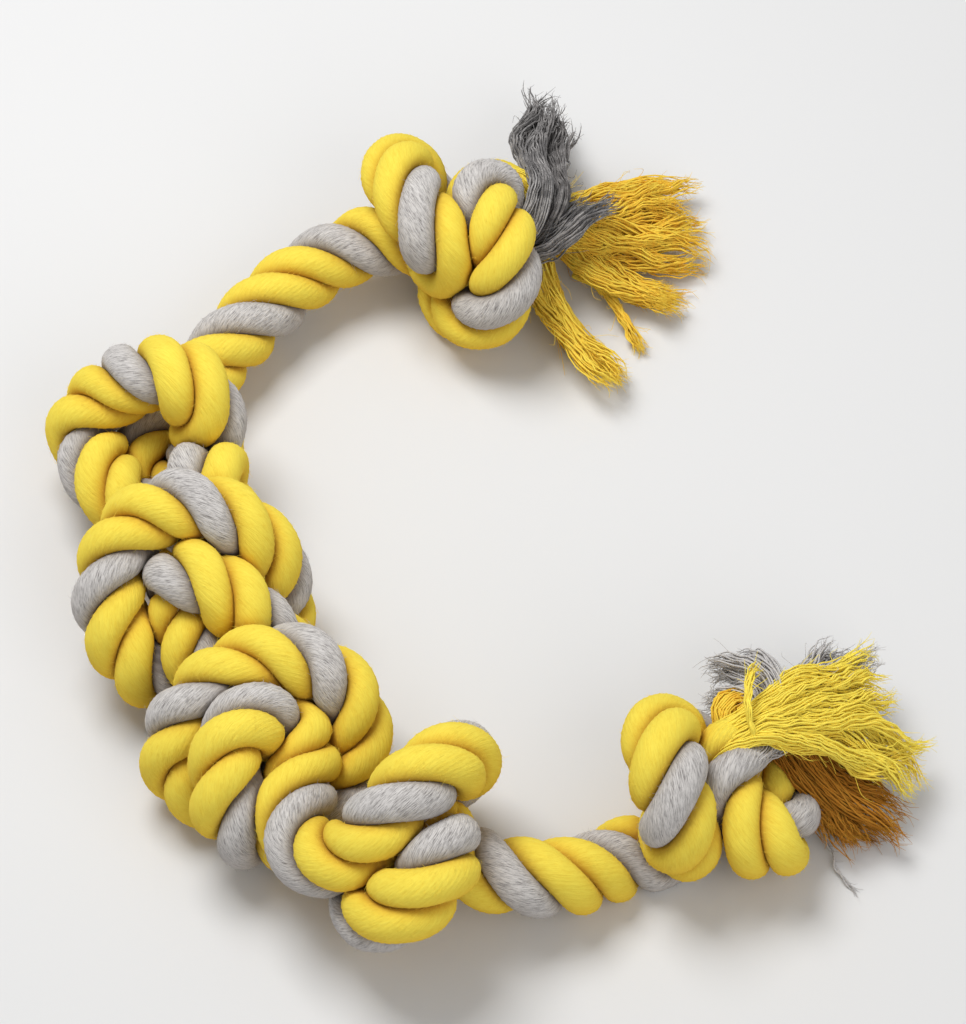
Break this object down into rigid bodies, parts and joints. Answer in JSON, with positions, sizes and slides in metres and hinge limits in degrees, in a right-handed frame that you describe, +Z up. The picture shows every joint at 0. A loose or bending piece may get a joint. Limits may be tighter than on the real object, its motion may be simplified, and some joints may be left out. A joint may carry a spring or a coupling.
{
  "type": "rope dog toy",
  "caption": "Knotted three-strand rope tug toy, lying in an open C, with tight overhand knots along it and an unlaid yarn tassel at each end.",
  "frame": {"origin": "the middle of the footprint, on the floor that the toy lies on", "axes": "+Z up; +X from the closed side of the C to its open side; +Y towards the first end knot"},
  "size_m": [0.4724, 0.5646, 0.1124],
  "materials": {
    "grey_cotton": "soft matt heather-grey cotton yarn",
    "yellow_cotton": "soft matt yellow cotton yarn"
  },
  "bodies": {
    "first_end": {"end_knot_1_grey_strand": "grey_cotton", "end_knot_1_yellow_strand_a": "yellow_cotton", "end_knot_1_yellow_strand_b": "yellow_cotton", "tassel_1_grey_hank_back": "grey_cotton", "tassel_1_grey_hank_side": "grey_cotton", "tassel_1_yellow_hank_outer": "yellow_cotton", "tassel_1_yellow_hank_middle": "yellow_cotton", "tassel_1_yellow_hank_inner": "yellow_cotton", "tassel_1_yellow_hank_front": "yellow_cotton"},
    "middle": {"bare_stretch_1_grey_strand": "grey_cotton", "bare_stretch_1_yellow_strand_a": "yellow_cotton", "bare_stretch_1_yellow_strand_b": "yellow_cotton", "knot_2_grey_strand": "grey_cotton", "knot_2_yellow_strand_a": "yellow_cotton", "knot_2_yellow_strand_b": "yellow_cotton", "bare_stretch_2_grey_strand": "grey_cotton", "bare_stretch_2_yellow_strand_a": "yellow_cotton", "bare_stretch_2_yellow_strand_b": "yellow_cotton", "knot_3_grey_strand": "grey_cotton", "knot_3_yellow_strand_a": "yellow_cotton", "knot_3_yellow_strand_b": "yellow_cotton", "bare_stretch_3_grey_strand": "grey_cotton", "bare_stretch_3_yellow_strand_a": "yellow_cotton", "bare_stretch_3_yellow_strand_b": "yellow_cotton", "knot_4_grey_strand": "grey_cotton", "knot_4_yellow_strand_a": "yellow_cotton", "knot_4_yellow_strand_b": "yellow_cotton", "bare_stretch_4_grey_strand": "grey_cotton", "bare_stretch_4_yellow_strand_a": "yellow_cotton", "bare_stretch_4_yellow_strand_b": "yellow_cotton", "knot_5_grey_strand": "grey_cotton", "knot_5_yellow_strand_a": "yellow_cotton", "knot_5_yellow_strand_b": "yellow_cotton", "bare_stretch_5_grey_strand": "grey_cotton", "bare_stretch_5_yellow_strand_a": "yellow_cotton", "bare_stretch_5_yellow_strand_b": "yellow_cotton"},
    "second_end": {"end_knot_6_grey_strand": "grey_cotton", "end_knot_6_yellow_strand_a": "yellow_cotton", "end_knot_6_yellow_strand_b": "yellow_cotton", "tassel_2_grey_hank_back": "grey_cotton", "tassel_2_grey_hank_side": "grey_cotton", "tassel_2_yellow_hank_top": "yellow_cotton", "tassel_2_yellow_hank_arch": "yellow_cotton", "tassel_2_yellow_hank_inner": "yellow_cotton", "tassel_2_yellow_hank_low": "yellow_cotton"}
  },
  "joints": [
    {"name": "first_end_bend", "type": "hinge", "parent": "middle", "child": "first_end", "pos_m": [-0.1259, 0.1251, 0.0295], "axis": [0, 0, 1], "range_deg": [-25, 25], "deforming": ["bare_stretch_1_grey_strand", "bare_stretch_1_yellow_strand_a", "bare_stretch_1_yellow_strand_b"]},
    {"name": "second_end_bend", "type": "hinge", "parent": "middle", "child": "second_end", "pos_m": [0.0338, -0.2322, 0.0373], "axis": [0, 0, 1], "range_deg": [-25, 25], "deforming": ["bare_stretch_5_grey_strand", "bare_stretch_5_yellow_strand_a", "bare_stretch_5_yellow_strand_b"]}
  ]
}
